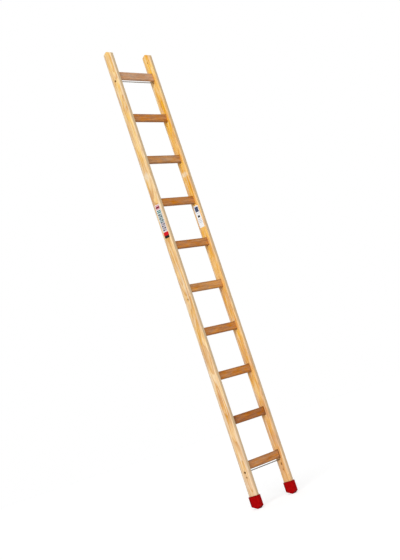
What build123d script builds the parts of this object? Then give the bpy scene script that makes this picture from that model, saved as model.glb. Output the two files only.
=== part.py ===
from build123d import *
from math import cos, radians, sin, tan
import os

# A wooden leaning ladder, stood upright: stiles along Z, rungs along X, the climber's side at -Y.
# The origin is midway between the feet, level with the lowest edge of their soles.
# All sizes are in millimetres.

# Layout: the top rung stands a little above its place in the pitch
rung_count = 10
rung_pitch = 280.0
bottom_rung_height = 259.0
top_rung_lift = 2.0
outer_width = 411.0
top_overhang = 160.0

# Stiles: long edges rounded, top ends clipped at the front and the back
stile_thickness = 31.5
stile_depth = 60.5
stile_edge_radius = 8.5
top_flat_depth = 9.0
top_clip_rise = 14.0
top_end_ease = 1.0

# Rungs, flat on edge, with a round-ended tenon that is glued into a blind mortise
rung_height = 52.0
rung_depth = 16.0
rung_edge_radius = 5.0
tenon_height = 38.0
tenon_thickness = 11.0
tenon_length = 21.0
tenon_end_chamfer = 1.0
mortise_clearance = 0.15
mortise_end_room = 1.0

# Tie rods under the bottom and top rungs, with nuts sunk in the stiles' outer faces
rod_diameter = 6.0
rod_drop = 9.0
rod_end_chamfer = 0.6
rod_end_proud = 1.0
rod_end_recess = 0.9
rod_hole_clearance = 0.25
washer_diameter = 14.0
washer_thickness = 1.6
washer_bore_clearance = 0.2
nut_flats = 10.0
nut_thickness = 5.0
nut_corner_chamfer = 0.5
nut_bore_clearance = 0.1
counterbore_clearance = 0.5

# Feet: moulded caps over a shouldered stile end, with a sole that slopes up from a ridge
foot_height = 79.5
foot_proud = 4.5
foot_edge_radius = 8.5
foot_rim_ease = 1.0
sole_ridge_offset = -11.0
sole_ridge_radius = 2.5
sole_rear_angle = 24.5
sole_front_angle = 34.0
sole_edge_radius = 1.5
tread_groove_count = 4
tread_groove_pitch = 11.0
tread_groove_width = 2.5
tread_groove_depth = 1.5
pocket_floor = 26.0
spigot_step = 0.75
spigot_clearance = 0.15
foot_rim_gap = 0.5

# Foot screws, through the rear wall of each foot into the stile
screw_below_rim = 21.5
screw_diameter = 4.0
screw_length = 30.0
screw_tip_length = 5.0
screw_head_diameter = 8.0
screw_head_recess = 0.3
screw_clearance = 0.15
screw_pilot_room = 1.0
screw_cross_length = 4.4
screw_cross_width = 0.9
screw_cross_depth = 1.2

# Labels stuck on the stiles, placed from the rung above the gap that they lie in
label_rung_number = 7
label_width = 37.0
label_thickness = 0.3
label_corner_radius = 1.5
label_offset = -3.0
left_label_length = 215.5
left_label_above_underside = 13.0
right_label_length = 145.0
right_label_below_underside = 13.5

# Places and sizes that follow from the values above
sides = (("left", -1), ("right", 1))
stile_x = (outer_width - stile_thickness) / 2
inner_face_x = outer_width / 2 - stile_thickness
rung_places = [bottom_rung_height + number * rung_pitch for number in range(rung_count)]
rung_heights = [*rung_places[:-1], rung_places[-1] + top_rung_lift]
stile_top = rung_places[-1] + top_overhang
shoulder_height = foot_height + foot_rim_gap

spigot_thickness = stile_thickness - 2 * spigot_step
spigot_depth = stile_depth - 2 * spigot_step
spigot_edge_radius = stile_edge_radius - spigot_step
foot_thickness = stile_thickness + 2 * foot_proud
foot_depth = stile_depth + 2 * foot_proud

rear_angle = radians(sole_rear_angle)
front_angle = radians(sole_front_angle)
ridge_rear_y = sole_ridge_offset + sole_ridge_radius * sin(rear_angle)
ridge_rear_z = sole_ridge_radius * (1 - cos(rear_angle))
ridge_front_y = sole_ridge_offset - sole_ridge_radius * sin(front_angle)
ridge_front_z = sole_ridge_radius * (1 - cos(front_angle))
sole_rear_rise = ridge_rear_z + (foot_depth / 2 - ridge_rear_y) * tan(rear_angle)
sole_front_rise = ridge_front_z + (foot_depth / 2 + ridge_front_y) * tan(front_angle)
sole_normal = (0, sin(rear_angle), -cos(rear_angle))
tread_y = (ridge_rear_y + foot_depth / 2) / 2
tread_z = (ridge_rear_z + sole_rear_rise) / 2

rod_below_rung = rung_height / 2 + rod_drop
rods = (("lower", rung_places[0] - rod_below_rung), ("upper", rung_places[-1] - rod_below_rung))
counterbore_depth = washer_thickness + nut_thickness + rod_end_proud + rod_end_recess
washer_seat_x = outer_width / 2 - counterbore_depth
rod_length = outer_width - 2 * rod_end_recess

screw_height = foot_height - screw_below_rim
screw_head_height = (screw_head_diameter - screw_diameter) / 2
screw_hole_radius = screw_diameter / 2 + screw_clearance
screw_sink_radius = screw_head_diameter / 2 + screw_head_recess + screw_clearance
pilot_depth = screw_head_recess + screw_length + screw_pilot_room - (foot_depth - spigot_depth) / 2

label_underside = rung_heights[label_rung_number - 1] - rung_height / 2
left_label_height = label_underside + left_label_above_underside - left_label_length / 2
right_label_height = label_underside - right_label_below_underside - right_label_length / 2

os.makedirs("parts", exist_ok=True)

# Stiles
for side, sign in sides:
    mortise_planes = [
        Plane((sign * inner_face_x, 0, height), x_dir=(0, 0, 1), z_dir=(sign, 0, 0))
        for height in rung_heights
    ]
    rod_end_planes = [Plane((sign * outer_width / 2, 0, height), z_dir=(sign, 0, 0)) for name, height in rods]
    with BuildPart() as stile:
        with BuildSketch(Plane((sign * stile_x, 0, shoulder_height))):
            RectangleRounded(stile_thickness, stile_depth, stile_edge_radius)
        extrude(amount=stile_top - shoulder_height)
        for face in (-1, 1):
            with BuildSketch(Plane.YZ):
                with BuildLine():
                    Polyline(
                        (face * stile_depth / 2, stile_top - top_clip_rise),
                        (face * stile_depth / 2, stile_top),
                        (face * top_flat_depth / 2, stile_top),
                        close=True,
                    )
                make_face()
            extrude(amount=outer_width, both=True, mode=Mode.SUBTRACT)
        top_faces = stile.faces().sort_by(Axis.Z)[-3:]
        fillet(top_faces.edges(), top_end_ease)
        with BuildSketch(Plane((sign * stile_x, 0, pocket_floor))):
            RectangleRounded(spigot_thickness, spigot_depth, spigot_edge_radius)
        extrude(amount=shoulder_height - pocket_floor)
        with BuildSketch(*mortise_planes):
            SlotOverall(tenon_height + 2 * mortise_clearance, tenon_thickness + 2 * mortise_clearance)
        extrude(amount=tenon_length + mortise_end_room, mode=Mode.SUBTRACT)
        with Locations(*rod_end_planes):
            CounterBoreHole(
                radius=rod_diameter / 2 + rod_hole_clearance,
                counter_bore_radius=washer_diameter / 2 + counterbore_clearance,
                counter_bore_depth=counterbore_depth,
                depth=stile_thickness,
            )
        with Locations(Plane((sign * stile_x, spigot_depth / 2, screw_height), z_dir=(0, 1, 0))):
            Hole(radius=screw_hole_radius, depth=pilot_depth)
    stile.part.label = f"{side}_stile"
    export_step(stile.part, f"parts/{side}_stile.step")

# Rungs, numbered from the bottom
clear_width = 2 * inner_face_x
for number, height in enumerate(rung_heights, start=1):
    rung_plane = Plane((0, 0, height), x_dir=(0, 0, 1), z_dir=(1, 0, 0))
    with BuildPart() as rung:
        with BuildSketch(rung_plane):
            SlotOverall(tenon_height, tenon_thickness)
        extrude(amount=clear_width / 2 + tenon_length, both=True)
        tenon_ends = rung.faces().filter_by(Axis.X)
        chamfer(tenon_ends.edges(), tenon_end_chamfer)
        with BuildSketch(rung_plane):
            RectangleRounded(rung_height, rung_depth, rung_edge_radius)
        extrude(amount=clear_width / 2, both=True)
    rung.part.label = f"rung_{number:02d}"
    export_step(rung.part, f"parts/rung_{number:02d}.step")

# Tie rods
for name, height in rods:
    with BuildPart() as rod:
        with BuildSketch(Plane((0, 0, height), z_dir=(1, 0, 0))):
            Circle(rod_diameter / 2)
        extrude(amount=rod_length / 2, both=True)
        chamfer(rod.faces().filter_by(Axis.X).edges(), rod_end_chamfer)
    rod.part.label = f"{name}_tie_rod"
    export_step(rod.part, f"parts/{name}_tie_rod.step")

# Washers on the floors of the counterbores, and nuts on the washers
washer_planes = [
    Plane((sign * washer_seat_x, 0, height), z_dir=(sign, 0, 0))
    for side, sign in sides
    for name, height in rods
]
with BuildPart() as tie_rod_washers:
    with BuildSketch(*washer_planes):
        Circle(washer_diameter / 2)
        Circle(rod_diameter / 2 + washer_bore_clearance, mode=Mode.SUBTRACT)
    extrude(amount=washer_thickness)
tie_rod_washers.part.label = "tie_rod_washers"
export_step(tie_rod_washers.part, "parts/tie_rod_washers.step")

nut_planes = [plane.offset(washer_thickness) for plane in washer_planes]
with BuildPart() as tie_rod_nuts:
    with BuildSketch(*nut_planes):
        RegularPolygon(nut_flats / 2, 6, major_radius=False)
    extrude(amount=nut_thickness)
    nut_ends = tie_rod_nuts.faces().filter_by(Axis.X)
    chamfer(nut_ends.edges(), nut_corner_chamfer)
    with BuildSketch(*nut_planes):
        Circle(rod_diameter / 2 + nut_bore_clearance)
    extrude(amount=nut_thickness, mode=Mode.SUBTRACT)
tie_rod_nuts.part.label = "tie_rod_nuts"
export_step(tie_rod_nuts.part, "parts/tie_rod_nuts.step")

# Feet
for side, sign in sides:
    with BuildPart() as foot:
        with BuildSketch(Plane.YZ.offset(sign * stile_x)):
            with BuildLine():
                ThreePointArc(
                    (ridge_rear_y, ridge_rear_z),
                    (sole_ridge_offset, 0),
                    (ridge_front_y, ridge_front_z),
                )
                Polyline(
                    (ridge_front_y, ridge_front_z),
                    (-foot_depth / 2, sole_front_rise),
                    (-foot_depth / 2, foot_height),
                    (foot_depth / 2, foot_height),
                    (foot_depth / 2, sole_rear_rise),
                    (ridge_rear_y, ridge_rear_z),
                )
            make_face()
        extrude(amount=foot_thickness / 2, both=True)
        fillet(foot.edges().filter_by(Axis.Z), foot_edge_radius)
        sole_edges = foot.faces().sort_by(Axis.Z)[:3].edges()
        ridge_seams = sole_edges.filter_by(Axis.X).sort_by(Axis.Z)[:2]
        fillet(sole_edges - ridge_seams, sole_edge_radius)
        with BuildSketch(Plane((sign * stile_x, tread_y, tread_z), x_dir=(1, 0, 0), z_dir=sole_normal)):
            with GridLocations(0, tread_groove_pitch, 1, tread_groove_count):
                Rectangle(foot_thickness, tread_groove_width)
        extrude(amount=-tread_groove_depth, mode=Mode.SUBTRACT)
        with BuildSketch(Plane((sign * stile_x, 0, foot_height))):
            RectangleRounded(
                spigot_thickness + 2 * spigot_clearance,
                spigot_depth + 2 * spigot_clearance,
                spigot_edge_radius + spigot_clearance,
            )
        extrude(amount=pocket_floor - foot_height, mode=Mode.SUBTRACT)
        rim = foot.faces().sort_by(Axis.Z)[-1]
        fillet(rim.outer_wire().edges(), foot_rim_ease)
        with Locations(Plane((sign * stile_x, foot_depth / 2, screw_height), z_dir=(0, 1, 0))):
            CounterSinkHole(
                radius=screw_hole_radius,
                counter_sink_radius=screw_sink_radius,
                depth=foot_depth / 2,
                counter_sink_angle=90,
            )
    foot.part.label = f"{side}_foot"
    export_step(foot.part, f"parts/{side}_foot.step")

# Foot screws
screw_head_y = foot_depth / 2 - screw_head_recess
screw_heads = [Plane((sign * stile_x, screw_head_y, screw_height)) for side, sign in sides]
with BuildPart() as foot_screws:
    for head in screw_heads:
        with BuildSketch(head):
            with BuildLine():
                Polyline(
                    (0, 0),
                    (screw_head_diameter / 2, 0),
                    (screw_diameter / 2, -screw_head_height),
                    (screw_diameter / 2, screw_tip_length - screw_length),
                    (0, -screw_length),
                    close=True,
                )
            make_face()
        revolve(axis=Axis(head.origin, (0, 1, 0)))
        with BuildSketch(Plane(head.origin, z_dir=(0, 1, 0))):
            Rectangle(screw_cross_length, screw_cross_width)
            Rectangle(screw_cross_width, screw_cross_length)
        extrude(amount=-screw_cross_depth, mode=Mode.SUBTRACT)
foot_screws.part.label = "foot_screws"
export_step(foot_screws.part, "parts/foot_screws.step")

# Labels
left_label_origin = (-outer_width / 2, label_offset, left_label_height)
with BuildPart() as left_label:
    with BuildSketch(Plane(left_label_origin, x_dir=(0, 0, 1), z_dir=(-1, 0, 0))):
        RectangleRounded(left_label_length, label_width, label_corner_radius)
    extrude(amount=label_thickness)
left_label.part.label = "left_label"
export_step(left_label.part, "parts/left_label.step")

right_label_origin = (inner_face_x, label_offset, right_label_height)
with BuildPart() as right_label:
    with BuildSketch(Plane(right_label_origin, x_dir=(0, 0, 1), z_dir=(-1, 0, 0))):
        RectangleRounded(right_label_length, label_width, label_corner_radius)
    extrude(amount=label_thickness)
right_label.part.label = "right_label"
export_step(right_label.part, "parts/right_label.step")
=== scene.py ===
from math import radians

import bmesh
import bpy
from mathutils import Matrix, Vector


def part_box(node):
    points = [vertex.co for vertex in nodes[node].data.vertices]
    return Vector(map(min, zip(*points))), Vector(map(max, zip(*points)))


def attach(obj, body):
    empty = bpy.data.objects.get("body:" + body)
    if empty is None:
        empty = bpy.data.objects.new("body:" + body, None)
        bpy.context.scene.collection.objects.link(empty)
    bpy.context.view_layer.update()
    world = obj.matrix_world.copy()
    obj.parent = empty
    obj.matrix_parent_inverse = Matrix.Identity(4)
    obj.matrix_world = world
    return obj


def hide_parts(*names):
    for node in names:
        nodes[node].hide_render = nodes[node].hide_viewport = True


# A wooden leaning ladder, stood upright: pine stiles, beech rungs, steel tie rods and red rubber feet.
# Sizes are in metres, unless a name says millimetres.
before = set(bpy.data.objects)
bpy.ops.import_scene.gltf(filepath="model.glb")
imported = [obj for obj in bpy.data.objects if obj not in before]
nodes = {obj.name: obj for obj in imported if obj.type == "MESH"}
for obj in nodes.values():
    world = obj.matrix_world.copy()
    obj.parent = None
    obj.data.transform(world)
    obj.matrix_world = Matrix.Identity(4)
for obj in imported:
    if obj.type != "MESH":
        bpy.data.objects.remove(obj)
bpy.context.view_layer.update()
MM = 0.001

# Places that the frame gives
rung_names = sorted(name for name in nodes if name.startswith("rung_"))
rung_boxes = [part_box(name) for name in rung_names]
rung_half_height = (rung_boxes[0][1].z - rung_boxes[0][0].z) / 2
rung_half_depth = (rung_boxes[0][1].y - rung_boxes[0][0].y) / 2
first_rung_middle = rung_boxes[0][0].z + rung_half_height
rung_pitch = rung_boxes[1][0].z - rung_boxes[0][0].z
stile_low, stile_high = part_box("right_stile")
inner_face = stile_low.x
clear_half_length = (inner_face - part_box("left_stile")[1].x) / 2
foot_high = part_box("right_foot")[1]


# Colours and shader nodes

def linear(hex_colour):
    """A colour written as sRGB hex, as the linear colour that a shader takes."""
    channels = [int(hex_colour[i:i + 2], 16) / 255 for i in (1, 3, 5)]
    return (*(c / 12.92 if c <= 0.04045 else ((c + 0.055) / 1.055) ** 2.4 for c in channels), 1.0)


def add(tree, kind, inputs=None, out=0, **settings):
    """Adds one node with its settings, sets or links its inputs, and returns one of its outputs."""
    made = tree.nodes.new("ShaderNode" + kind)
    for name, value in settings.items():
        setattr(made, name, value)
    for socket, value in (inputs or {}).items():
        if isinstance(value, bpy.types.NodeSocket):
            tree.links.new(value, made.inputs[socket])
        else:
            made.inputs[socket].default_value = value
    return made.outputs[out] if len(made.outputs) else None


def new_material(name):
    """An empty node material and its tree."""
    material = bpy.data.materials.new(name)
    material.use_nodes = True
    material.node_tree.nodes.clear()
    return material, material.node_tree


def per_mm(*sizes):
    """The mapping scale that makes one unit of a pattern as large as these sizes in millimetres."""
    return tuple(1 / (size * MM) for size in sizes)


def nearest_spot(tree, across, height, spots):
    """How far a point of a face is from the nearest of some oval spots, in spot sizes.
    A spot is its middle's place across and up the face, then its half width and half height, all in
    millimetres."""
    face_place = add(tree, "CombineXYZ", {"X": across, "Y": height})
    nearest = None
    for across_mm, height_mm, half_width_mm, half_height_mm in spots:
        spot_place = add(
            tree,
            "Mapping",
            {
                "Vector": face_place,
                "Location": (across_mm * MM, height_mm * MM, 0),
                "Scale": (half_width_mm * MM, half_height_mm * MM, 1),
            },
            vector_type="TEXTURE",
        )
        away = add(tree, "VectorMath", {0: spot_place}, out="Value", operation="LENGTH")
        nearest = away if nearest is None else add(tree, "Math", {0: nearest, 1: away}, operation="MINIMUM")
    return nearest


def off_rung_middle(tree, height):
    """How far a height lies above or below the middle of the nearest rung."""
    steps_up = add(tree, "Math", {0: height, 1: first_rung_middle}, operation="SUBTRACT")
    off_middle = add(tree, "Math", {0: steps_up, 1: -rung_pitch / 2, 2: rung_pitch / 2}, operation="WRAP")
    return add(tree, "Math", {0: off_middle}, operation="ABSOLUTE")


def wander(tree, place, wave_mm, detail):
    """How a line wanders: from -0.5 to 0.5 on each axis, in waves of these lengths in millimetres."""
    wave_place = add(tree, "Mapping", {"Vector": place, "Scale": per_mm(*wave_mm)})
    waves = add(tree, "TexNoise", {"Vector": wave_place, "Scale": 1.0, "Detail": detail}, out="Color")
    return add(tree, "VectorMath", {0: waves, 1: (0.5, 0.5, 0.5)}, operation="SUBTRACT")


# Parts of the pine's finish

def ragged_knots(tree, place, knots):
    """How far a point of a stile's broad face is from the nearest ragged knot, in knot sizes."""
    ragged_across_mm, ragged_up_mm = 3.5, 5
    ragged = wander(tree, place, (5, 5, 5), detail=3.0)
    reach = (0, ragged_across_mm * MM, ragged_up_mm * MM)
    knot_place = add(tree, "VectorMath", {0: ragged, 1: reach, 2: place}, operation="MULTIPLY_ADD")
    knot_depth = add(tree, "SeparateXYZ", {"Vector": knot_place}, out="Y")
    knot_height = add(tree, "SeparateXYZ", {"Vector": knot_place}, out="Z")
    return nearest_spot(tree, knot_depth, knot_height, knots)


def late_wood_rings(tree, place, pith_mm, from_knot):
    """Growth rings round the pith, from 0 in early wood to 1 in late wood: uneven in width and depth, with a
    sharp dark end to each year, and pushed aside by the knots."""
    ring_width_mm = 2.6
    lean_years_mm = 6.5
    lean_years_apart_mm = 11
    deep_years_apart_mm = 5
    knot_reach = 3.2
    knot_push_mm = 5.0
    push = add(
        tree,
        "MapRange",
        {"Value": from_knot, "From Max": knot_reach, "To Min": knot_push_mm / ring_width_mm, "To Max": 0.0},
        interpolation_type="SMOOTHERSTEP",
    )
    pith = (pith_mm[0] * MM, pith_mm[1] * MM, 0)
    from_pith = add(tree, "VectorMath", {0: place, 1: pith}, operation="SUBTRACT")
    from_pith = add(tree, "VectorMath", {0: from_pith, 1: (1, 1, 0)}, operation="MULTIPLY")
    radius = add(tree, "VectorMath", {0: from_pith}, out="Value", operation="LENGTH")
    growth = add(
        tree,
        "TexNoise",
        {"W": radius, "Scale": per_mm(lean_years_apart_mm)[0], "Detail": 1.0},
        noise_dimensions="1D",
    )
    years = add(tree, "Math", {0: radius, 1: per_mm(ring_width_mm)[0], 2: push}, operation="MULTIPLY_ADD")
    lean_years = lean_years_mm / ring_width_mm
    years = add(tree, "Math", {0: growth, 1: lean_years, 2: years}, operation="MULTIPLY_ADD")
    ring = add(tree, "Math", {0: years}, operation="FRACT")
    late_wood = add(
        tree, "MapRange", {"Value": ring, "From Min": 0.28, "From Max": 1.0}, interpolation_type="SMOOTHSTEP"
    )
    ring_depth = add(
        tree,
        "TexNoise",
        {"W": radius, "Scale": per_mm(deep_years_apart_mm)[0], "Detail": 1.5},
        noise_dimensions="1D",
    )
    ring_depth = add(
        tree,
        "MapRange",
        {"Value": ring_depth, "From Min": 0.3, "From Max": 0.7, "To Min": 0.5, "To Max": 1.25},
    )
    return add(tree, "Math", {0: late_wood, 1: ring_depth}, operation="MULTIPLY", use_clamp=True)


def with_knots(tree, wood, from_knot, honey):
    """Wood with its knots: each is a brown heart with a darker bark line and a honey halo round it."""
    bark, heart = "#4a2a12", "#7a4820"
    knot_halo = add(
        tree, "MapRange", {"Value": from_knot, "From Min": 1.0, "From Max": 2.4, "To Min": 0.6, "To Max": 0.0}
    )
    knot_rim = add(
        tree,
        "MapRange",
        {"Value": from_knot, "From Min": 0.85, "From Max": 1.15, "To Min": 1.0, "To Max": 0.0},
    )
    knot_heart = add(
        tree,
        "MapRange",
        {"Value": from_knot, "From Min": 0.3, "From Max": 0.75, "To Min": 0.8, "To Max": 0.0},
    )
    wood = add(tree, "MixRGB", {"Fac": knot_halo, "Color1": wood, "Color2": linear(honey)}, use_clamp=True)
    wood = add(tree, "MixRGB", {"Fac": knot_rim, "Color1": wood, "Color2": linear(bark)})
    return add(tree, "MixRGB", {"Fac": knot_heart, "Color1": wood, "Color2": linear(heart)})


def worn_and_shaded(tree, wood, place, depth, height):
    """Wood with painted light and wear: the rear half is darker and greyer as painted shade, the top end is
    paler as painted light that falls off down the ladder, the front arris is worn pale and carries a faint
    painted highlight, and the front edge is greyed with painted shade, up to the plain top."""
    rear_shade_from_mm, rear_shade_to_mm = 3.0, 23.0
    lit_top_from_mm, lit_top_to_mm = 320.0, 120.0
    pale_arris_from_mm, pale_arris_to_mm = -20.0, -26.0
    front_edge_from_mm, front_edge_to_mm = -29.2, -30.2
    plain_top_mm = 15.0
    front_shade_grey = "#d6bb93"

    # Painted shade: the rear half is made darker and greyer.
    rear_in_shade = add(tree, "HueSaturation", {"Color": wood, "Saturation": 0.84, "Value": 0.9})
    rear_half = add(
        tree,
        "MapRange",
        {"Value": depth, "From Min": rear_shade_from_mm * MM, "From Max": rear_shade_to_mm * MM},
        interpolation_type="SMOOTHSTEP",
    )
    wood = add(tree, "MixRGB", {"Fac": rear_half, "Color1": wood, "Color2": rear_in_shade})

    # Painted light: the top end is made paler, as light that falls off down the ladder.
    lit_top = add(tree, "HueSaturation", {"Color": wood, "Saturation": 0.95, "Value": 1.03})
    top_end = add(
        tree,
        "MapRange",
        {
            "Value": height,
            "From Min": stile_high.z - lit_top_from_mm * MM,
            "From Max": stile_high.z - lit_top_to_mm * MM,
        },
        interpolation_type="SMOOTHSTEP",
    )
    wood = add(tree, "MixRGB", {"Fac": top_end, "Color1": wood, "Color2": lit_top}, use_clamp=True)

    # The front arris is made paler: worn lacquer, and a faint painted highlight.
    worn_and_highlit = add(tree, "HueSaturation", {"Color": wood, "Saturation": 0.86, "Value": 0.99})
    arris = add(
        tree,
        "MapRange",
        {"Value": depth, "From Min": pale_arris_from_mm * MM, "From Max": pale_arris_to_mm * MM},
        interpolation_type="SMOOTHSTEP",
    )
    wood = add(tree, "MixRGB", {"Fac": arris, "Color1": wood, "Color2": worn_and_highlit})

    # Painted shade: the front edge is greyed, unevenly, and left plain at the top.
    shade_place = add(tree, "Mapping", {"Vector": place, "Scale": per_mm(9, 9, 90)})
    shade_strength = add(tree, "TexNoise", {"Vector": shade_place, "Scale": 1.0, "Detail": 3.0})
    shade_strength = add(
        tree, "MapRange", {"Value": shade_strength, "From Min": 0.3, "From Max": 0.7, "To Min": 0.55, "To Max": 0.95}
    )
    front_edge = add(
        tree,
        "MapRange",
        {"Value": depth, "From Min": front_edge_from_mm * MM, "From Max": front_edge_to_mm * MM},
        interpolation_type="SMOOTHSTEP",
    )
    front_shade = add(tree, "Math", {0: shade_strength, 1: front_edge}, operation="MULTIPLY")
    below_top = add(
        tree,
        "MapRange",
        {
            "Value": height,
            "From Min": stile_high.z - plain_top_mm * MM,
            "From Max": stile_high.z - plain_top_mm * MM / 2,
            "To Min": 1.0,
            "To Max": 0.0,
        },
    )
    front_shade = add(tree, "Math", {0: front_shade, 1: below_top}, operation="MULTIPLY")
    return add(tree, "MixRGB", {"Fac": front_shade, "Color1": wood, "Color2": linear(front_shade_grey)})


def with_joint_shade(tree, wood, place, depth, height, risen):
    """Wood with painted contact shade in the corner round each rung on the inner face, stronger low down."""
    joint_shade_mm = 4.5
    face_depth_mm = 1.0
    darkening = "#7c4a1c"
    across = add(tree, "SeparateXYZ", {"Vector": place}, out="X")
    off_centre = add(tree, "Math", {0: across}, operation="ABSOLUTE")
    face_limit = inner_face + face_depth_mm * MM
    on_inner_face = add(tree, "Math", {0: off_centre, 1: face_limit}, operation="LESS_THAN")
    off_depth = add(tree, "Math", {0: depth}, operation="ABSOLUTE")
    off_side = add(tree, "Math", {0: off_depth, 1: rung_half_depth}, operation="SUBTRACT")
    off_height = off_rung_middle(tree, height)
    off_edge = add(tree, "Math", {0: off_height, 1: rung_half_height}, operation="SUBTRACT")
    off_rung = add(tree, "Math", {0: off_side, 1: off_edge}, operation="MAXIMUM")
    # Painted shade: a soft dark halo round each rung where it meets the inner face.
    joint_shade = add(
        tree,
        "MapRange",
        {"Value": off_rung, "From Max": joint_shade_mm * MM, "To Min": 1.0, "To Max": 0.0},
        interpolation_type="SMOOTHSTEP",
    )
    low_down = add(
        tree, "MapRange", {"Value": risen, "From Min": 0.1, "From Max": 0.4, "To Min": 1.0, "To Max": 0.6}
    )
    joint_shade = add(tree, "Math", {0: joint_shade, 1: low_down}, operation="MULTIPLY")
    joint_shade = add(tree, "Math", {0: joint_shade, 1: on_inner_face}, operation="MULTIPLY")
    return add(tree, "MixRGB", {"Fac": joint_shade, "Color1": wood, "Color2": linear(darkening)})


# Materials

def planed_pine(
    name,
    foot,
    head,
    head_lit_value,
    late,
    honey,
    cream,
    pith_mm,
    run_out_mm,
    knots,
    heart_streaks,
    pale_patches,
):
    """Planed pine under a thin satin lacquer: early wood that yellows up the board and is painted lighter
    towards the head, as light that falls off down the ladder, late wood lines of uneven width and depth,
    honey and cream streaks, fine resin canals, rings on the end grain, small knots that the lines flow round,
    a front edge greyed with painted shade, a rear half darkened with painted shade, and painted contact shade
    round each rung on the inner face."""
    sway_mm = 13
    patch_shift = (3, 5, 7)
    head_saturation = 1.03
    heartwood, pale_wood = "#cf8238", "#fbe6c4"
    material, tree = new_material(name)
    place = add(tree, "TexCoord", out="Object")
    depth = add(tree, "SeparateXYZ", {"Vector": place}, out="Y")
    height = add(tree, "SeparateXYZ", {"Vector": place}, out="Z")

    # The slow sway of the fibres along the board. The rings make arches where the fibres also run in and out
    # of the board's broad faces.
    sway = wander(tree, place, (70, 70, 400), detail=1.0)
    bent = add(
        tree, "VectorMath", {0: sway, 1: (sway_mm * MM, sway_mm * MM, 0), 2: place}, operation="MULTIPLY_ADD"
    )
    run_out = add(
        tree, "VectorMath", {0: sway, 1: (run_out_mm * MM, 0, 0), 2: bent}, operation="MULTIPLY_ADD"
    )
    from_knot = ragged_knots(tree, place, knots)
    late_wood = late_wood_rings(tree, run_out, pith_mm, from_knot)

    # Broad streaks and mottling, drawn wider than single rings so that they show from across a room
    streak_place = add(tree, "Mapping", {"Vector": bent, "Scale": per_mm(11, 11, 170)})
    streaks = add(tree, "TexNoise", {"Vector": streak_place, "Scale": 1.0, "Detail": 4.0, "Roughness": 0.68})
    honeyed = add(tree, "MapRange", {"Value": streaks, "From Min": 0.5, "From Max": 0.7, "To Max": 0.6})
    creamed = add(
        tree, "MapRange", {"Value": streaks, "From Min": 0.3, "From Max": 0.48, "To Min": 0.6, "To Max": 0.0}
    )
    mottle_place = add(tree, "Mapping", {"Vector": bent, "Scale": per_mm(8, 8, 110)})
    mottle = add(tree, "TexNoise", {"Vector": mottle_place, "Scale": 1.0, "Detail": 3.5, "Roughness": 0.68})
    patch_place = add(
        tree, "Mapping", {"Vector": bent, "Scale": per_mm(18, 18, 110), "Location": patch_shift}
    )
    patches = add(tree, "TexNoise", {"Vector": patch_place, "Scale": 1.0, "Detail": 3.5, "Roughness": 0.62})

    # Fibres, and resin canals: thin brown dashes, 1 mm wide and up to 30 mm long
    canal_place = add(tree, "Mapping", {"Vector": bent, "Scale": per_mm(4.5, 4.5, 48)})
    canals = add(tree, "TexVoronoi", {"Vector": canal_place, "Scale": 1.0}, out="Distance")
    canal = add(
        tree, "MapRange", {"Value": canals, "From Min": 0.05, "From Max": 0.2, "To Min": 0.5, "To Max": 0.0}
    )
    fibre_place = add(tree, "Mapping", {"Vector": bent, "Scale": per_mm(1.1, 1.1, 45)})
    fibres = add(tree, "TexNoise", {"Vector": fibre_place, "Scale": 1.0, "Detail": 2.0})

    # The ground yellows from the foot to the head, and the rings, streaks and canals lie on it
    risen = add(tree, "MapRange", {"Value": height, "From Min": stile_low.z, "From Max": stile_high.z})
    wood = add(tree, "MixRGB", {"Fac": risen, "Color1": linear(foot), "Color2": linear(head)})
    for amount, colour in ((late_wood, late), (honeyed, honey), (creamed, cream), (canal, late)):
        wood = add(tree, "MixRGB", {"Fac": amount, "Color1": wood, "Color2": linear(colour)})

    # Long streaks of heartwood and patches of pale wood
    bent_depth = add(tree, "SeparateXYZ", {"Vector": bent}, out="Y")
    from_heart = nearest_spot(tree, bent_depth, height, heart_streaks)
    heart = add(
        tree,
        "MapRange",
        {"Value": from_heart, "From Min": 0.1, "From Max": 1.0, "To Min": 0.75, "To Max": 0.0},
        interpolation_type="SMOOTHSTEP",
    )
    wood = add(tree, "MixRGB", {"Fac": heart, "Color1": wood, "Color2": linear(heartwood)})
    from_patch = nearest_spot(tree, bent_depth, height, pale_patches)
    pale = add(
        tree,
        "MapRange",
        {"Value": from_patch, "From Min": 0.3, "From Max": 1.0, "To Min": 0.7, "To Max": 0.0},
        interpolation_type="SMOOTHSTEP",
    )
    wood = add(tree, "MixRGB", {"Fac": pale, "Color1": wood, "Color2": linear(pale_wood)})

    # Mottling in hue, strength and lightness, with a slow change from the foot to the head. The lightness
    # that rises towards the head is painted light, as light that falls off down the ladder.
    hue = add(
        tree,
        "MapRange",
        {"Value": patches, "From Min": 0.3, "From Max": 0.7, "To Min": 0.493, "To Max": 0.508},
    )
    saturation = add(
        tree,
        "MapRange",
        {"Value": mottle, "From Min": 0.25, "From Max": 0.75, "To Min": 0.66, "To Max": 1.34},
    )
    deepened = add(tree, "MapRange", {"Value": risen, "To Min": 1.0, "To Max": head_saturation})
    saturation = add(tree, "Math", {0: saturation, 1: deepened}, operation="MULTIPLY")
    fibre_value = add(
        tree,
        "MapRange",
        {"Value": fibres, "From Min": 0.25, "From Max": 0.75, "To Min": 0.93, "To Max": 1.06},
    )
    patch_value = add(
        tree, "MapRange", {"Value": patches, "From Min": 0.3, "From Max": 0.7, "To Min": 0.83, "To Max": 1.09}
    )
    value = add(tree, "Math", {0: fibre_value, 1: patch_value}, operation="MULTIPLY")
    # Painted light: lighter towards the head.
    lit_towards_head = add(tree, "MapRange", {"Value": risen, "To Min": 1.0, "To Max": head_lit_value})
    value = add(tree, "Math", {0: value, 1: lit_towards_head}, operation="MULTIPLY")
    wood = add(tree, "HueSaturation", {"Color": wood, "Hue": hue, "Saturation": saturation, "Value": value})

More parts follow.
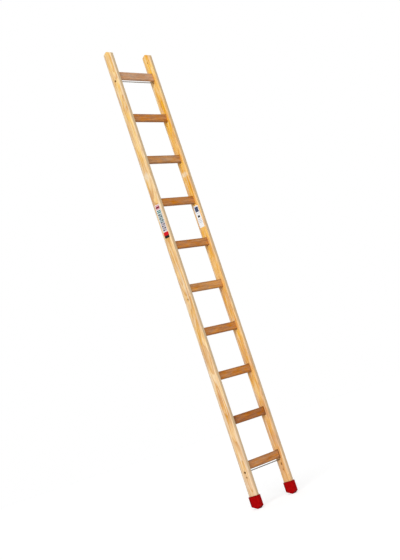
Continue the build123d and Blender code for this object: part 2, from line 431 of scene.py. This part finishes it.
    wood = with_knots(tree, wood, from_knot, honey)
    wood = worn_and_shaded(tree, wood, place, depth, height)
    wood = with_joint_shade(tree, wood, place, depth, height, risen)

    rough = add(tree, "MapRange", {"Value": fibres, "To Min": 0.45, "To Max": 0.62})
    relief = add(tree, "Math", {0: late_wood, 1: fibres}, operation="ADD")
    normal = add(tree, "Bump", {"Height": relief, "Strength": 0.5, "Distance": 0.06 * MM})
    lacquered = add(
        tree,
        "BsdfPrincipled",
        {"Base Color": wood, "Roughness": rough, "Normal": normal, "IOR": 1.48, "Specular IOR Level": 0.2},
    )
    add(tree, "OutputMaterial", {"Surface": lacquered})
    return material


def steamed_beech(name, ground, dark, light, shade_strength=0.45, corner_shadow_strength=0.7, corner_shadow_mm=11.0):
    """Steamed beech, planed and oiled: red-brown, with short dark flecks, soft streaks along the rung, a few
    pin knots, painted shade along its upper and lower edges, a painted shadow of the left stile at its left
    end, and on the lowest rungs a darker right end."""
    pin_knots = ((-110, 545, 5.0, 2.5), (-42, 807, 3.0, 2.5), (-62, 1117, 4.0, 3.0))
    sway_mm = 12
    edge_shade_mm = 13.0
    unshaded_arris_mm = 2.0
    right_end_mm = 9.0
    right_end_strength = 0.9
    knot_brown, darkening_brown = "#5a2c10", "#6e421c"
    material, tree = new_material(name)
    place = add(tree, "TexCoord", out="Object")
    along = add(tree, "SeparateXYZ", {"Vector": place}, out="X")
    height = add(tree, "SeparateXYZ", {"Vector": place}, out="Z")

    sway = wander(tree, place, (190, 45, 45), detail=1.0)
    bent = add(
        tree, "VectorMath", {0: sway, 1: (0, sway_mm * MM, sway_mm * MM), 2: place}, operation="MULTIPLY_ADD"
    )

    # Soft streaks and blotches, drawn wider than the real ones so that they show from across a room
    streak_place = add(tree, "Mapping", {"Vector": bent, "Scale": per_mm(130, 10, 10)})
    streaks = add(tree, "TexNoise", {"Vector": streak_place, "Scale": 1.0, "Detail": 5.0, "Roughness": 0.68})
    dark_streak = add(tree, "MapRange", {"Value": streaks, "From Min": 0.5, "From Max": 0.7, "To Max": 0.9})
    light_streak = add(
        tree, "MapRange", {"Value": streaks, "From Min": 0.3, "From Max": 0.48, "To Min": 0.9, "To Max": 0.0}
    )
    blotch_place = add(tree, "Mapping", {"Vector": bent, "Scale": per_mm(60, 14, 14)})
    blotches = add(tree, "TexNoise", {"Vector": blotch_place, "Scale": 1.0, "Detail": 4.0, "Roughness": 0.62})

    # Ray flecks: thin dashes, 3 mm long, end to end with the grain. Then fibres and growth lines.
    fleck_place = add(tree, "Mapping", {"Vector": bent, "Scale": per_mm(3.2, 0.6, 0.6)})
    flecks = add(tree, "TexVoronoi", {"Vector": fleck_place, "Scale": 1.0}, out="Distance")
    fleck = add(
        tree, "MapRange", {"Value": flecks, "From Min": 0.12, "From Max": 0.32, "To Min": 0.55, "To Max": 0.0}
    )
    fibre_place = add(tree, "Mapping", {"Vector": bent, "Scale": per_mm(30, 0.8, 0.8)})
    fibres = add(tree, "TexNoise", {"Vector": fibre_place, "Scale": 1.0, "Detail": 2.0})
    line_place = add(tree, "Mapping", {"Vector": bent, "Scale": per_mm(260, 2.6, 2.6)})
    growth_lines = add(
        tree, "TexNoise", {"Vector": line_place, "Scale": 1.0, "Detail": 3.0, "Roughness": 0.65}
    )

    # Painted shade along the upper and lower edges, a painted shadow of the left stile at the left end, and a
    # darker right end on the lowest rungs, which thins out from the second rung to the fourth
    edge_shade = add(
        tree,
        "MapRange",
        {
            "Value": off_rung_middle(tree, height),
            "From Min": rung_half_height - edge_shade_mm * MM,
            "From Max": rung_half_height - unshaded_arris_mm * MM,
            "To Max": shade_strength,
        },
        interpolation_type="SMOOTHSTEP",
    )
    corner_shadow = add(
        tree,
        "MapRange",
        {
            "Value": along,
            "From Min": corner_shadow_mm * MM - clear_half_length,
            "From Max": -clear_half_length,
            "To Max": corner_shadow_strength,
        },
        interpolation_type="SMOOTHSTEP",
    )
    right_end_dark = add(
        tree,
        "MapRange",
        {
            "Value": along,
            "From Min": clear_half_length - right_end_mm * MM,
            "From Max": clear_half_length,
            "To Max": right_end_strength,
        },
        interpolation_type="SMOOTHSTEP",
    )
    low_down = add(
        tree,
        "MapRange",
        {
            "Value": height,
            "From Min": first_rung_middle + rung_pitch,
            "From Max": first_rung_middle + 3 * rung_pitch,
            "To Min": 1.0,
            "To Max": 0.0,
        },
    )
    right_end_dark = add(tree, "Math", {0: right_end_dark, 1: low_down}, operation="MULTIPLY")
    corner_shadow = add(tree, "Math", {0: corner_shadow, 1: right_end_dark}, operation="MAXIMUM")
    darkening = add(tree, "Math", {0: edge_shade, 1: corner_shadow}, operation="MAXIMUM")

    wood = add(tree, "MixRGB", {"Fac": dark_streak, "Color1": linear(ground), "Color2": linear(dark)})
    wood = add(tree, "MixRGB", {"Fac": light_streak, "Color1": wood, "Color2": linear(light)})
    wood = add(tree, "MixRGB", {"Fac": fleck, "Color1": wood, "Color2": linear(dark)})
    saturation = add(
        tree,
        "MapRange",
        {"Value": blotches, "From Min": 0.3, "From Max": 0.7, "To Min": 0.87, "To Max": 1.13},
    )
    fibre_value = add(
        tree, "MapRange", {"Value": fibres, "From Min": 0.25, "From Max": 0.75, "To Min": 0.9, "To Max": 1.07}
    )
    blotch_value = add(
        tree,
        "MapRange",
        {"Value": blotches, "From Min": 0.3, "From Max": 0.7, "To Min": 0.77, "To Max": 1.15},
    )
    line_value = add(
        tree,
        "MapRange",
        {"Value": growth_lines, "From Min": 0.35, "From Max": 0.65, "To Min": 0.87, "To Max": 1.13},
    )
    value = add(tree, "Math", {0: fibre_value, 1: blotch_value}, operation="MULTIPLY")
    value = add(tree, "Math", {0: value, 1: line_value}, operation="MULTIPLY")
    wood = add(tree, "HueSaturation", {"Color": wood, "Saturation": saturation, "Value": value})
    from_knot = nearest_spot(tree, along, height, pin_knots)
    knot = add(
        tree,
        "MapRange",
        {"Value": from_knot, "From Min": 0.4, "From Max": 1.2, "To Min": 0.85, "To Max": 0.0},
    )
    wood = add(tree, "MixRGB", {"Fac": knot, "Color1": wood, "Color2": linear(knot_brown)})
    wood = add(tree, "MixRGB", {"Fac": darkening, "Color1": wood, "Color2": linear(darkening_brown)})

    rough = add(tree, "MapRange", {"Value": fibres, "To Min": 0.48, "To Max": 0.65})
    normal = add(tree, "Bump", {"Height": fibres, "Strength": 0.4, "Distance": 0.05 * MM})
    oiled = add(
        tree,
        "BsdfPrincipled",
        {"Base Color": wood, "Roughness": rough, "Normal": normal, "IOR": 1.48, "Specular IOR Level": 0.18},
    )
    add(tree, "OutputMaterial", {"Surface": oiled})
    return material


def zinc_plated_steel(name, bright, dull):
    """Old zinc-plated steel: a grey metal gone dull, with a soft, patchy shine, that has rusted brown at the
    stiles, where damp stands. At the rod ends this brown is also a painted reflection of the brown wood round
    them."""
    rust_reach_mm, full_rust_mm = 14.0, 2.0
    dark_rust, light_rust = "#74501f", "#a67838"
    rust_roughness = 0.35
    material, tree = new_material(name)
    place = add(tree, "TexCoord", out="Object")
    along = add(tree, "SeparateXYZ", {"Vector": place}, out="X")
    off_centre = add(tree, "Math", {0: along}, operation="ABSOLUTE")
    # Rust brown near the stiles, which at the rod ends is also a painted reflection of the wood.
    rust_and_reflection = add(
        tree,
        "MapRange",
        {
            "Value": off_centre,
            "From Min": inner_face - rust_reach_mm * MM,
            "From Max": inner_face - full_rust_mm * MM,
        },
        interpolation_type="SMOOTHSTEP",
    )
    patch_place = add(tree, "Mapping", {"Vector": place, "Scale": per_mm(9, 3, 3)})
    patches = add(tree, "TexNoise", {"Vector": patch_place, "Scale": 1.0, "Detail": 3.0})
    patched = add(tree, "MapRange", {"Value": patches, "From Min": 0.3, "From Max": 0.7})
    zinc = add(tree, "MixRGB", {"Fac": patched, "Color1": linear(dull), "Color2": linear(bright)})
    rust = add(tree, "MixRGB", {"Fac": patched, "Color1": linear(dark_rust), "Color2": linear(light_rust)})
    colour = add(tree, "MixRGB", {"Fac": rust_and_reflection, "Color1": zinc, "Color2": rust})
    metal = add(tree, "MapRange", {"Value": rust_and_reflection, "To Min": 1.0, "To Max": 0.2})
    shine = add(tree, "MapRange", {"Value": patched, "To Min": 0.5, "To Max": 0.3})
    rough = add(tree, "Math", {0: rust_and_reflection, 1: rust_roughness, 2: shine}, operation="MULTIPLY_ADD")
    plated = add(tree, "BsdfPrincipled", {"Base Color": colour, "Metallic": metal, "Roughness": rough})
    add(tree, "OutputMaterial", {"Surface": plated})
    return material


def moulded_rubber(name, ground, deep):
    """Moulded red rubber: one strong red, clouded a little darker, with the fine grain of the mould and a
    dull sheen, painted shade along the rim and the rear edge, and scuffed where the sole meets the ground."""
    scuff_height_mm = 16.0
    rim_shade_mm = 9.0
    rear_edge_shade_mm, full_rear_edge_shade_mm = 20.0, 6.0
    scuffed_red, shaded_red = "#74100c", "#5a0305"
    material, tree = new_material(name)
    place = add(tree, "TexCoord", out="Object")
    depth = add(tree, "SeparateXYZ", {"Vector": place}, out="Y")
    height = add(tree, "SeparateXYZ", {"Vector": place}, out="Z")
    cloud_place = add(tree, "Mapping", {"Vector": place, "Scale": per_mm(14, 14, 14)})
    clouds = add(tree, "TexNoise", {"Vector": cloud_place, "Scale": 1.0, "Detail": 3.0})
    clouded = add(tree, "MapRange", {"Value": clouds, "From Min": 0.35, "From Max": 0.7, "To Max": 0.8})
    colour = add(tree, "MixRGB", {"Fac": clouded, "Color1": linear(ground), "Color2": linear(deep)})

    scuff_place = add(tree, "Mapping", {"Vector": place, "Scale": per_mm(5, 5, 3)})
    scuffs = add(tree, "TexNoise", {"Vector": scuff_place, "Scale": 1.0, "Detail": 4.0})
    scuffs = add(tree, "MapRange", {"Value": scuffs, "From Min": 0.45, "From Max": 0.6, "To Max": 0.5})
    near_ground = add(
        tree,
        "MapRange",
        {"Value": height, "From Max": scuff_height_mm * MM, "To Min": 1.0, "To Max": 0.0},
        interpolation_type="SMOOTHSTEP",
    )
    scuffed = add(tree, "Math", {0: scuffs, 1: near_ground}, operation="MULTIPLY")
    colour = add(tree, "MixRGB", {"Fac": scuffed, "Color1": colour, "Color2": linear(scuffed_red)})

    # Painted shade: darker along the rear edge and the rim.
    rear_edge_shade = add(
        tree,
        "MapRange",
        {
            "Value": depth,
            "From Min": foot_high.y - rear_edge_shade_mm * MM,
            "From Max": foot_high.y - full_rear_edge_shade_mm * MM,
            "To Max": 0.55,
        },
        interpolation_type="SMOOTHSTEP",
    )
    rim_shade = add(
        tree,
        "MapRange",
        {
            "Value": height,
            "From Min": foot_high.z - rim_shade_mm * MM,
            "From Max": foot_high.z,
            "To Max": 0.5,
        },
        interpolation_type="SMOOTHSTEP",
    )
    darkening = add(tree, "Math", {0: rear_edge_shade, 1: rim_shade}, operation="MAXIMUM")
    colour = add(tree, "MixRGB", {"Fac": darkening, "Color1": colour, "Color2": linear(shaded_red)})

    grain_place = add(tree, "Mapping", {"Vector": place, "Scale": per_mm(0.9, 0.9, 0.9)})
    grain = add(tree, "TexNoise", {"Vector": grain_place, "Scale": 1.0, "Detail": 2.0})
    rough = add(tree, "MapRange", {"Value": grain, "To Min": 0.5, "To Max": 0.68})
    normal = add(tree, "Bump", {"Height": grain, "Strength": 0.5, "Distance": 0.08 * MM})
    rubber = add(
        tree,
        "BsdfPrincipled",
        {"Base Color": colour, "Roughness": rough, "Normal": normal, "IOR": 1.5, "Specular IOR Level": 0.03},
    )
    add(tree, "OutputMaterial", {"Surface": rubber})
    return material


def printed_film(name, ink):
    """Printed polyester film: a flat ink, a little uneven where it was laid on, under a satin surface."""
    material, tree = new_material(name)
    place = add(tree, "TexCoord", out="Object")
    blot_place = add(tree, "Mapping", {"Vector": place, "Scale": per_mm(5, 5, 5)})
    blots = add(tree, "TexNoise", {"Vector": blot_place, "Scale": 1.0, "Detail": 2.0})
    value = add(
        tree, "MapRange", {"Value": blots, "From Min": 0.3, "From Max": 0.7, "To Min": 0.94, "To Max": 1.0}
    )
    colour = add(tree, "HueSaturation", {"Color": linear(ink), "Value": value})
    rough = add(tree, "MapRange", {"Value": blots, "To Min": 0.35, "To Max": 0.48})
    film = add(tree, "BsdfPrincipled", {"Base Color": colour, "Roughness": rough, "Specular IOR Level": 0.15})
    add(tree, "OutputMaterial", {"Surface": film})
    return material


# Pieces

def new_piece(name, mesh_tool, materials):
    """Turns a bmesh into an object that rides on the ladder, with its finish."""
    mesh = bpy.data.meshes.new(name)
    mesh_tool.to_mesh(mesh)
    mesh_tool.free()
    for material in materials:
        mesh.materials.append(material)
    piece = bpy.data.objects.new(name, mesh)
    bpy.context.scene.collection.objects.link(piece)
    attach(piece, "root")
    return piece


def finish_node(name, material):
    """Gives a CAD node its finish."""
    slots = nodes[name].data.materials
    slots.clear()
    slots.append(material)


def printed_label(name, node, inks, fields):
    """A film label with rounded corners, cut along the edges of its printed fields.
    A field is its ink's name, then its span across and its span down, in millimetres from the label's top
    front corner. A later field lies on an earlier one."""
    corner_radius_mm = 1.5
    low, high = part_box(node)
    size = high - low
    label = bmesh.new()
    label_place = Matrix.Translation((low + high) / 2) @ Matrix.Diagonal((*size, 1.0))
    bmesh.ops.create_cube(label, size=1.0, matrix=label_place)
    corners = [e for e in label.edges if abs(e.verts[0].co.x - e.verts[1].co.x) > size.x / 2]
    bmesh.ops.bevel(
        label,
        geom=corners,
        offset=corner_radius_mm * MM,
        affect="EDGES",
        segments=4,
        profile=0.5,
        material=-1,
    )
    spans = [
        (
            ink,
            low.y + across[0] * MM,
            low.y + across[1] * MM,
            high.z - down[1] * MM,
            high.z - down[0] * MM,
        )
        for ink, across, down in fields
    ]
    side_cuts = {("y", edge) for span in spans for edge in span[1:3]}
    level_cuts = {("z", edge) for span in spans for edge in span[3:5]}
    for axis, edge in sorted(side_cuts | level_cuts):
        bmesh.ops.bisect_plane(
            label,
            geom=label.verts[:] + label.edges[:] + label.faces[:],
            plane_co=(0, edge, 0) if axis == "y" else (0, 0, edge),
            plane_no=(0, 1, 0) if axis == "y" else (0, 0, 1),
        )
    ink_numbers = {ink: number for number, ink in enumerate(inks)}
    printed_faces = [face for face in label.faces if face.normal.x <= -0.5]
    for face in printed_faces:
        middle = face.calc_center_median()
        for ink, y_from, y_to, z_from, z_to in spans:
            if y_from < middle.y < y_to and z_from < middle.z < z_to:
                face.material_index = ink_numbers[ink]
    piece = new_piece(name, label, inks.values())
    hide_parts(node)


# Finishes of the CAD nodes
pine_left = planed_pine(
    "planed_pine_pale",
    foot="#f8d3a7",
    head="#ffd792",
    head_lit_value=1.01,
    late="#dfa663",
    honey="#e6ae66",
    cream="#fde6c4",
    pith_mm=(-148, -6),
    run_out_mm=26,
    knots=((-2.6, 193.9, 3.4, 4.6), (-2.7, 1313.5, 3.6, 5.2)),
    heart_streaks=(
        (2, 520, 4, 110),
        (-8, 660, 6, 140),
        (2, 700, 7, 150),
        (10, 650, 5, 110),
        (-12, 1560, 2, 120),
    ),
    pale_patches=((0, 2110, 34, 36), (-9, 1400, 7, 230), (9, 2640, 6, 100)),
)
pine_right = planed_pine(
    "planed_pine_honey",
    foot="#f5c286",
    head="#ffc95f",
    head_lit_value=1.08,
    late="#d68f3e",
    honey="#dc9742",
    cream="#f8d9a2",
    pith_mm=(240, 70),
    run_out_mm=0,
    knots=((-3.0, 2881.9, 2.4, 3.4), (-1.1, 195.6, 3.8, 7.4), (-0.8, 158.5, 2.6, 4.2)),
    heart_streaks=(
        (-1, 370, 5, 120),
        (-6, 170, 6, 60),
        (12, 720, 3, 90),
        (11, 960, 3.5, 90),
        (4, 2590, 4, 70),
    ),
    pale_patches=((0, 2112, 34, 24),),
)
finish_node("left_stile", pine_left)
finish_node("right_stile", pine_right)

beech = steamed_beech("steamed_beech", ground="#d38a49", dark="#a86226", light="#e5a564")
soft_beech = steamed_beech("steamed_beech_soft", ground="#cf8c55", dark="#a56533", light="#e1a871")
# The second rung is darker, and its left end carries a painted shadow of the left stile over 70 mm.
dark_beech = steamed_beech(
    "steamed_beech_dark",
    ground="#bb7238",
    dark="#955219",
    light="#cf8c4e",
    corner_shadow_strength=1.0,
    corner_shadow_mm=70.0,
)
light_beech = steamed_beech("steamed_beech_light", ground="#e29e59", dark="#bb7533", light="#f0b97b")
grey_beech = steamed_beech("steamed_beech_grey", ground="#d4975e", dark="#ad6f39", light="#e4b280")
pale_beech = steamed_beech("steamed_beech_pale", ground="#dca77e", dark="#b58059", light="#eac19d", shade_strength=0.1)
rung_finishes = {
    "rung_01": soft_beech,
    "rung_02": dark_beech,
    "rung_05": light_beech,
    "rung_08": grey_beech,
    "rung_10": pale_beech,
}
for rung_name in rung_names:
    finish_node(rung_name, rung_finishes.get(rung_name, beech))

old_zinc = zinc_plated_steel("zinc_plated_steel", bright="#827e76", dull="#57534c")
bright_zinc = zinc_plated_steel("zinc_plated_steel_bright", bright="#a5a199", dull="#7b7770")
finish_node("upper_tie_rod", bright_zinc)
for steel_name in ("lower_tie_rod", "tie_rod_washers", "tie_rod_nuts", "foot_screws"):
    finish_node(steel_name, old_zinc)

red_rubber = moulded_rubber("moulded_red_rubber", ground="#b20608", deep="#960204")
for foot_name in ("left_foot", "right_foot"):
    finish_node(foot_name, red_rubber)

# Labels: plain fields of colour on white film
ink_colours = {
    "white": "#f9f9fa",
    "rose": "#dfa9b1",
    "dark_red": "#8c1f33",
    "teal": "#3f8580",
    "grey": "#4f5459",
    "black": "#1d1718",
    "red": "#d81420",
    "slate": "#475270",
    "pale_grey": "#c9cbd1",
    "mist": "#b7c6c5",
    "blush": "#d3c6cb",
    "mid_grey": "#878b90",
}
label_inks = {ink: printed_film(f"printed_film_{ink}", colour) for ink, colour in ink_colours.items()}

left_fields = [
    ("rose", (3, 34), (3, 32)),
    ("dark_red", (3, 34), (13, 23)),
    ("teal", (3, 34), (36, 44)),
    ("teal", (3, 34), (47, 55)),
    ("mist", (3, 34), (58, 116)),
    ("blush", (3, 34), (116, 173)),
    ("red", (0, 37), (176, 199)),
    ("black", (0, 37), (199, 215.5)),
]
row_count, row_top_mm, row_pitch_mm = 9, 61, 12.4
block_height_mm = 7.4
bars_down_mm = ((0.6, 2.8), (4.6, 6.8))
for row in range(row_count):
    top = row_top_mm + row * row_pitch_mm
    block, bar = ((4, 17), (19, 33)) if row % 2 else ((20, 33), (4, 18))
    left_fields.append(("grey", block, (top, top + block_height_mm)))
    for bar_top, bar_bottom in bars_down_mm:
        left_fields.append(("mid_grey", bar, (top + bar_top, top + bar_bottom)))
right_fields = [
    ("slate", (5, 32), (9, 42)),
    ("pale_grey", (5, 32), (50, 54)),
    ("black", (10, 26), (65, 79)),
    ("pale_grey", (5, 32), (90, 94)),
    ("pale_grey", (5, 32), (100, 104)),
    ("pale_grey", (5, 32), (110, 114)),
]
printed_label("left_printed_label", "left_label", label_inks, left_fields)
printed_label("right_printed_label", "right_label", label_inks, right_fields)

# Stage: a plain pale floor that is white to the camera and keeps the ladder's shadow
floor_half_size = 60.0
floor_mesh = bmesh.new()
bmesh.ops.create_grid(floor_mesh, x_segments=1, y_segments=1, size=floor_half_size)
floor_data = bpy.data.meshes.new("floor")
floor_mesh.to_mesh(floor_data)
floor_mesh.free()
floor = bpy.data.objects.new("floor", floor_data)
bpy.context.scene.collection.objects.link(floor)


def seen_directly(tree):
    """1 where the camera sees a surface, by itself or in something shiny or clear, and otherwise 0."""
    camera = add(tree, "LightPath", out="Is Camera Ray")
    shiny = add(tree, "LightPath", out="Is Glossy Ray")
    clear = add(tree, "LightPath", out="Is Transmission Ray")
    either = add(tree, "Math", {0: camera, 1: shiny}, operation="MAXIMUM")
    return add(tree, "Math", {0: either, 1: clear}, operation="MAXIMUM")


# White studio paper lights the ladder from below as plain paper does. To the camera it glows enough to come
# out white where no shadow falls.
white = linear("#ffffff")
paper_glow = 0.51
paper, paper_tree = new_material("white_studio_paper")
plain_paper = add(paper_tree, "BsdfDiffuse", {"Color": linear("#dedede")})
shadowed_paper = add(paper_tree, "BsdfDiffuse", {"Color": linear("#d3d3d3")})
lit_paper = add(paper_tree, "Emission", {"Color": white, "Strength": paper_glow})
shown_paper = add(paper_tree, "AddShader", {0: shadowed_paper, 1: lit_paper})
paper_surface = add(
    paper_tree, "MixShader", {"Fac": seen_directly(paper_tree), 1: plain_paper, 2: shown_paper}
)
add(paper_tree, "OutputMaterial", {"Surface": paper_surface})
floor_data.materials.append(paper)

room_strength, backdrop_strength = 0.36, 1.0
world = bpy.data.worlds.new("studio")
bpy.context.scene.world = world
world.use_nodes = True
world_tree = world.node_tree
world_tree.nodes.clear()
room_light = add(world_tree, "Background", {"Color": white, "Strength": room_strength})
white_backdrop = add(world_tree, "Background", {"Color": white, "Strength": backdrop_strength})
sky = add(world_tree, "MixShader", {"Fac": seen_directly(world_tree), 1: room_light, 2: white_backdrop})
add(world_tree, "OutputWorld", {"Surface": sky})


def soft_lamp(name, towards, strength, spread_degrees):
    """A wide, even studio light that shines from the direction towards."""
    lamp = bpy.data.lights.new(name, "SUN")
    lamp.energy = strength
    lamp.angle = radians(spread_degrees)
    stand = bpy.data.objects.new(name, lamp)
    stand.rotation_mode = "QUATERNION"
    stand.rotation_quaternion = Vector(towards).to_track_quat("Z", "Y")
    bpy.context.scene.collection.objects.link(stand)


soft_lamp("key_box", towards=(-0.68, -0.40, 0.62), strength=1.2, spread_degrees=25)
soft_lamp("low_box", towards=(-0.84, -0.50, 0.21), strength=0.965, spread_degrees=30)
soft_lamp("back_fill", towards=(0.6, 0.65, 0.45), strength=0.9, spread_degrees=70)

# Camera, as the photograph's: in front, to the climber's left, rolled so that the ladder leans in the picture
image_height_px = 560
focal_length_px = 1230.6
sensor_mm = 36.0
camera_place = Vector((-6.0731, -4.5033, 0.5204))
camera_aim = Vector((-0.0241, 0.0, 1.4212))
camera_roll = radians(-18.40)
camera_reach = 200.0
camera_data = bpy.data.cameras.new("camera")
camera_data.sensor_width = sensor_mm
camera_data.lens = focal_length_px * sensor_mm / image_height_px
camera_data.clip_end = camera_reach
camera = bpy.data.objects.new("camera", camera_data)
upright = (camera_aim - camera_place).to_track_quat("-Z", "Y").to_matrix().to_4x4()
camera.matrix_world = Matrix.Translation(camera_place) @ upright @ Matrix.Rotation(camera_roll, 4, "Z")
bpy.context.scene.collection.objects.link(camera)
bpy.context.scene.camera = camera

bpy.context.scene.view_settings.view_transform = "Standard"
